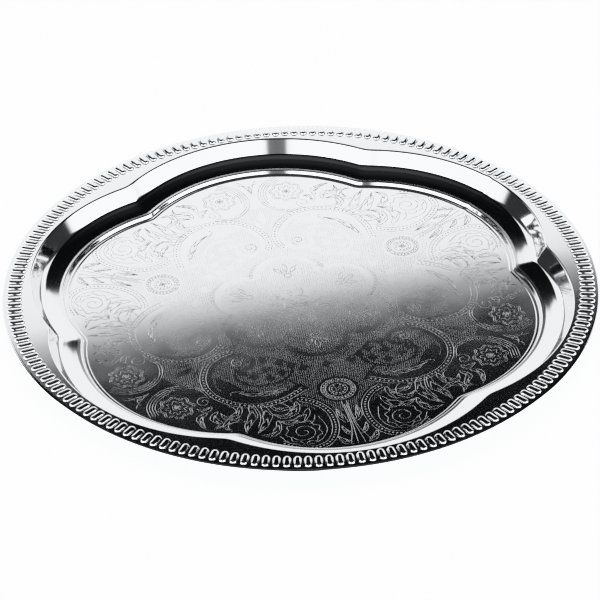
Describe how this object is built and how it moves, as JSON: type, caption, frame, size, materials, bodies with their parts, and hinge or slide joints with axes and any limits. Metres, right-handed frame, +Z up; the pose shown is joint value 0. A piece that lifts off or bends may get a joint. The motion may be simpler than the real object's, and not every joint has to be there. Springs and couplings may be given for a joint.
{
  "type": "offering plate",
  "caption": "Round chrome-plated metal plate with a scalloped well, an ornamented floor and a beaded flat rim; holds and passes loose offerings or served food.",
  "frame": {"origin": "middle of the underside of the well's floor, in the plane that the plate stands on", "axes": "+Z up along the plate's axis, out of the well; -Y through the middle of one lobe, +X through the ridge between two lobes"},
  "size_m": [0.355, 0.355, 0.016],
  "materials": {
    "chrome_plate": "bright polished chrome plate, satin and stippled in the ornamented floor",
    "wire_steel": "drawn steel wire, plain"
  },
  "bodies": {
    "root": {"tray_pressing": "chrome_plate", "edge_wire": "wire_steel"}
  },
  "joints": []
}
